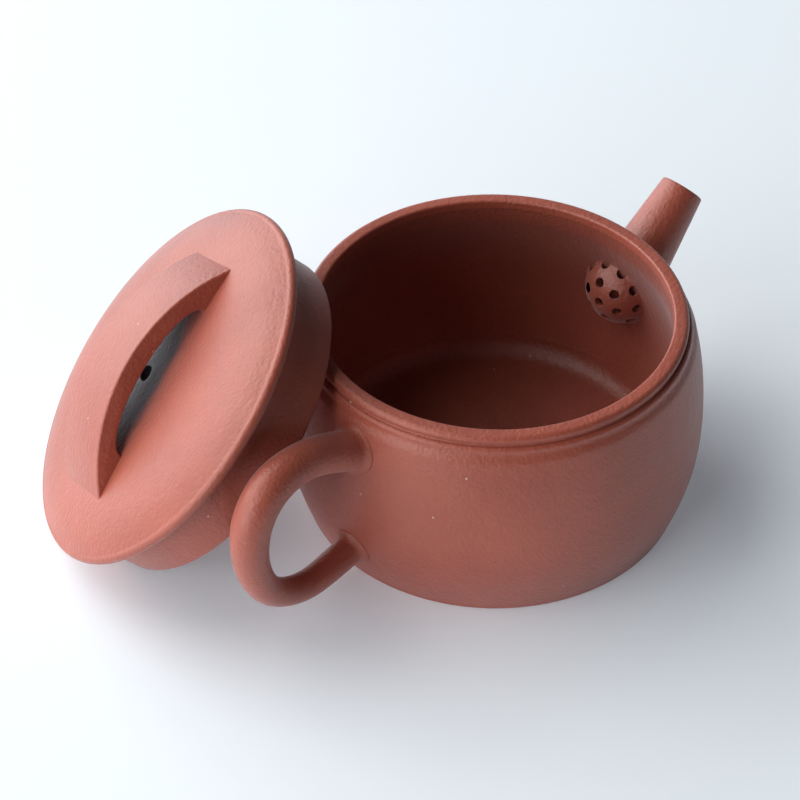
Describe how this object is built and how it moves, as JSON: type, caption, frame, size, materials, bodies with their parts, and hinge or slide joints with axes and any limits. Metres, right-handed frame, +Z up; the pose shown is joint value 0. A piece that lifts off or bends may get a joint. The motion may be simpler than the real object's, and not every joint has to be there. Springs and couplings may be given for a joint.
{
  "type": "clay teapot",
  "caption": "Small drum-shaped clay teapot with a straight spout, an ear handle and a lid with a bridge knob, the lid off and leaning on the handle.",
  "frame": {"origin": "centre of the pot's base, on the surface it stands on", "axes": "+Z up, +X towards the spout, handle towards -X, lid leaning on the +Y side of the handle"},
  "size_m": [0.1328, 0.1074, 0.0578],
  "materials": {
    "red_clay": "unglazed satin"
  },
  "bodies": {
    "pot": {"base_slab": "red_clay", "body_wall": "red_clay", "shoulder_slab": "red_clay", "mouth_ring": "red_clay", "ball_filter": "red_clay", "spout": "red_clay", "handle": "red_clay"},
    "lid": {"lid_slab": "red_clay", "lid_flange": "red_clay", "bridge_knob": "red_clay"}
  },
  "joints": [
    {"name": "lid_lift", "type": "slide", "parent": "pot", "child": "lid", "axis": [-0.5844, 0.4533, 0.673], "range_m": [0, 0.06]}
  ]
}
